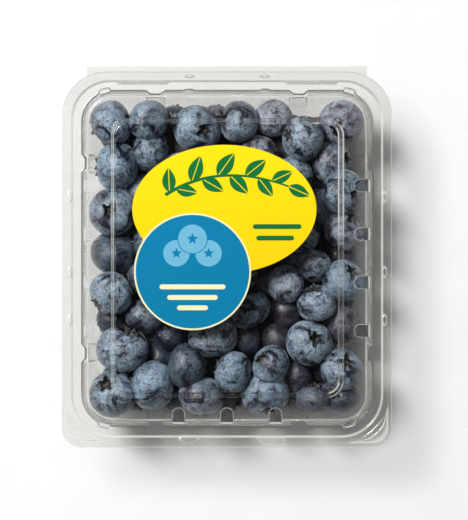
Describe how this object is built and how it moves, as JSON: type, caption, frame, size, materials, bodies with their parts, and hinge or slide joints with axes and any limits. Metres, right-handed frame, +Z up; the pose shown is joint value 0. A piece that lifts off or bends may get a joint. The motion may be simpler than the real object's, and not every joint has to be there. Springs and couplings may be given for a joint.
{
  "type": "punnet of blueberries",
  "caption": "Clear hinged clamshell pack with slotted raised lid, flanged rim and plain oval label, filled with a heap of fresh blueberries.",
  "frame": {"origin": "on the ground under the middle of the pack's bounding box", "axes": "+Z up, +Y towards the hinge at the back, +X to the right seen from the front"},
  "size_m": [0.116, 0.134, 0.0382],
  "materials": {
    "clear_plastic": "clear thermoformed sheet, glossy",
    "label_paper": "smooth printed sticker, satin",
    "berry_skin": "waxy skin with a pale bloom"
  },
  "bodies": {
    "tray_body": {"tray": "clear_plastic", "berries": "berry_skin"},
    "lid_body": {"lid": "clear_plastic", "label": "label_paper"}
  },
  "joints": [
    {"name": "lid_hinge", "type": "hinge", "parent": "tray_body", "child": "lid_body", "pos_m": [0, 0.0662, 0.02715], "axis": [-1, 0, 0], "range_deg": [0, 180]}
  ]
}
